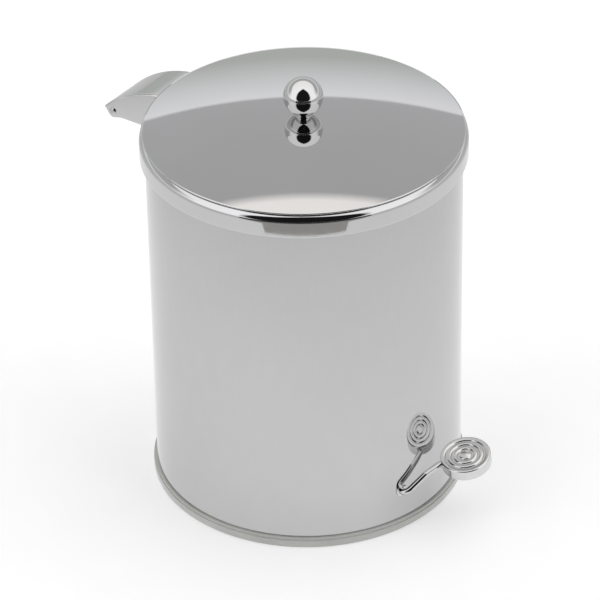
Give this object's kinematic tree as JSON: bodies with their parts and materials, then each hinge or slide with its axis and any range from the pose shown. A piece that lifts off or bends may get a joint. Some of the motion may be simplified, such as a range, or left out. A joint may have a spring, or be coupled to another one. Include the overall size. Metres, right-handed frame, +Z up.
{
  "type": "pedal trash can",
  "caption": "Round polished pedal bin with a domed lid on a rear hinge, ball knob, foot pedal, lift rod and a lift-out inner bucket.",
  "frame": {"origin": "the centre of the flat underside of the base tray, on the can's axis, at floor level", "axes": "+Z up; the pedal is towards -Y and the lid's hinge towards +Y; +X is to the right of someone facing the pedal side from the front"},
  "size_m": [0.2066, 0.2817, 0.2867],
  "materials": {
    "polished_steel": "mirror-polished stainless steel sheet",
    "chrome_trim": "mirror-polished metal",
    "pad_metal": "satin silver with raised rings",
    "wire_steel": "bright bent wire",
    "base_plastic": "greenish-grey moulded plastic",
    "black_plastic": "black moulded plastic",
    "bush_metal": "bright pressed bush",
    "zinc_steel": "zinc-plated steel",
    "buffer_rubber": "soft black rubber"
  },
  "bodies": {
    "bin": {"body_tube": "polished_steel", "top_collar": "chrome_trim", "base_tray": "base_plastic", "front_bearing_cap": "black_plastic", "rear_bearing_cap": "black_plastic", "bearing_screws": "zinc_steel", "front_bush": "bush_metal", "hinge_bracket": "zinc_steel", "hinge_pin": "zinc_steel", "hinge_spacers": "black_plastic", "bracket_screws": "zinc_steel", "bracket_nuts": "zinc_steel", "lower_guide": "black_plastic", "upper_guide": "black_plastic"},
    "lid": {"lid_dome": "chrome_trim", "knob_ball": "chrome_trim", "knob_neck": "chrome_trim", "knob_washer": "zinc_steel", "knob_screw": "zinc_steel", "lid_buffers": "buffer_rubber", "hinge_cover": "chrome_trim", "lid_spacer": "black_plastic", "lid_rivets": "zinc_steel", "hinge_yoke": "zinc_steel", "lift_lug": "zinc_steel"},
    "pedal": {"pedal_rod": "wire_steel", "pedal_pad": "pad_metal", "pad_screw": "zinc_steel", "shaft_clips": "zinc_steel"},
    "lift_rod": {"lift_rod": "wire_steel", "rod_cap": "black_plastic"},
    "bucket": {"bucket": "black_plastic"},
    "handle": {"bucket_handle": "wire_steel"}
  },
  "joints": [
    {"name": "lid_hinge", "type": "hinge", "parent": "bin", "child": "lid", "pos_m": [0, 0.1368, 0.2277], "axis": [-1, 0, 0], "range_deg": [0, 75]},
    {"name": "pedal_hinge", "type": "hinge", "parent": "bin", "child": "pedal", "pos_m": [0, 0, 0.029], "axis": [0.3239, 0.9461, 0], "range_deg": [0, 30]},
    {"name": "rod_slide", "type": "slide", "parent": "bin", "child": "lift_rod", "axis": [0, 0, 1], "range_m": [0, 0.01394]},
    {"name": "bucket_lift", "type": "slide", "parent": "bin", "child": "bucket", "axis": [0, 0, 1], "range_m": [0, 0.0025]},
    {"name": "handle_swing", "type": "hinge", "parent": "bucket", "child": "handle", "pos_m": [0, 0, 0.2456], "axis": [-1, 0, 0], "range_deg": [0, 1.2]}
  ],
  "couplings": [
    {"joint": "pedal_hinge", "follows": "lid_hinge", "ratio": 0.4},
    {"joint": "rod_slide", "follows": "lid_hinge", "m_per_rad": 0.010642}
  ]
}
